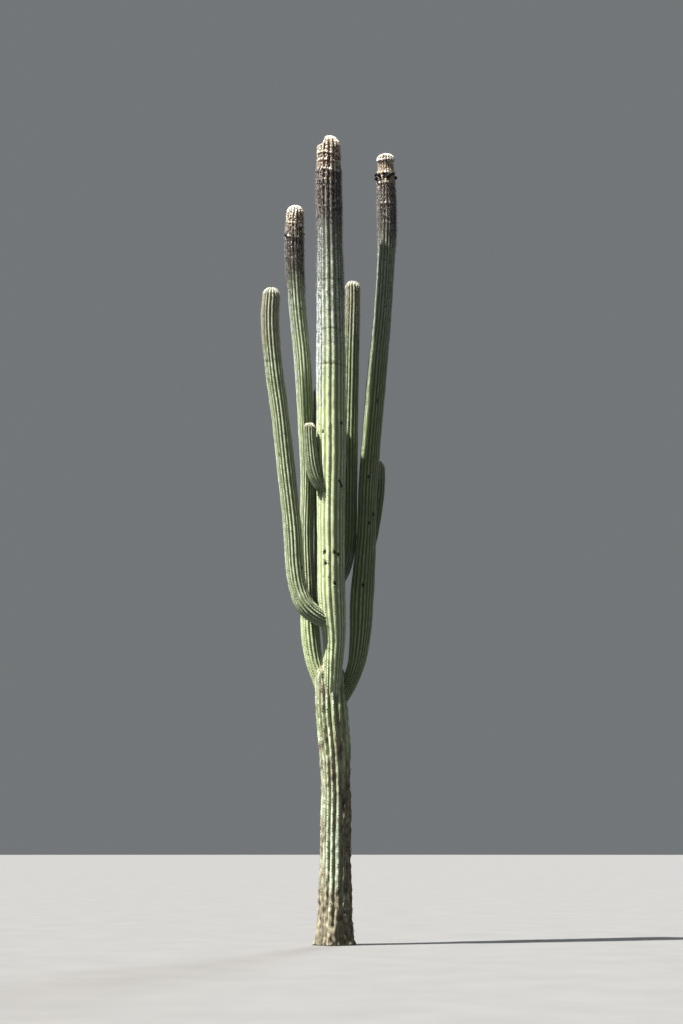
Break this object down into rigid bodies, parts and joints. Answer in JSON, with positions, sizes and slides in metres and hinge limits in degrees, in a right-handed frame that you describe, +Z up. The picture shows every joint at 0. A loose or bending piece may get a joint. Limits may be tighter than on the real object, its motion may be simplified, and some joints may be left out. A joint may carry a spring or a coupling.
{
  "type": "columnar cactus",
  "caption": "Tall branched columnar cactus, rooted: a ribbed trunk forks into upright ribbed stems with woolly brown heads, and curved arms grow from their sides.",
  "frame": {"origin": "centre of the flat cut under the trunk, at ground level", "axes": "+Z up along the trunk, -Y towards the viewer of the front, +X to that viewer's right"},
  "size_m": [1.5265, 0.8437, 8.9667],
  "materials": {
    "trunk_skin": "corky, pale grey green, with brown grey bark at the foot",
    "stem_skin": "waxy ribbed skin, yellow green to grey green, with pale rib crests and dark areoles",
    "arm_skin": "waxy ribbed skin, yellow green, with woolly tips",
    "head_wool": "brown grey wool and bristles over ribs, cream at the crown",
    "spines": "fine dull bristles and spines",
    "dried_flowers": "dark withered flowers and fruit"
  },
  "bodies": {
    "root": {"trunk": "trunk_skin", "centre_stem": "stem_skin", "centre_head": "head_wool", "left_stem": "stem_skin", "left_head": "head_wool", "right_stem": "stem_skin", "right_head": "head_wool", "outer_left_elbow": "arm_skin", "outer_left_arm": "arm_skin", "short_elbow": "arm_skin", "short_arm": "arm_skin", "rear_right_elbow": "arm_skin", "rear_right_arm": "arm_skin", "rear_left_elbow": "arm_skin", "rear_left_arm": "arm_skin", "rear_outer_elbow": "arm_skin", "rear_outer_arm": "arm_skin"}
  },
  "joints": []
}
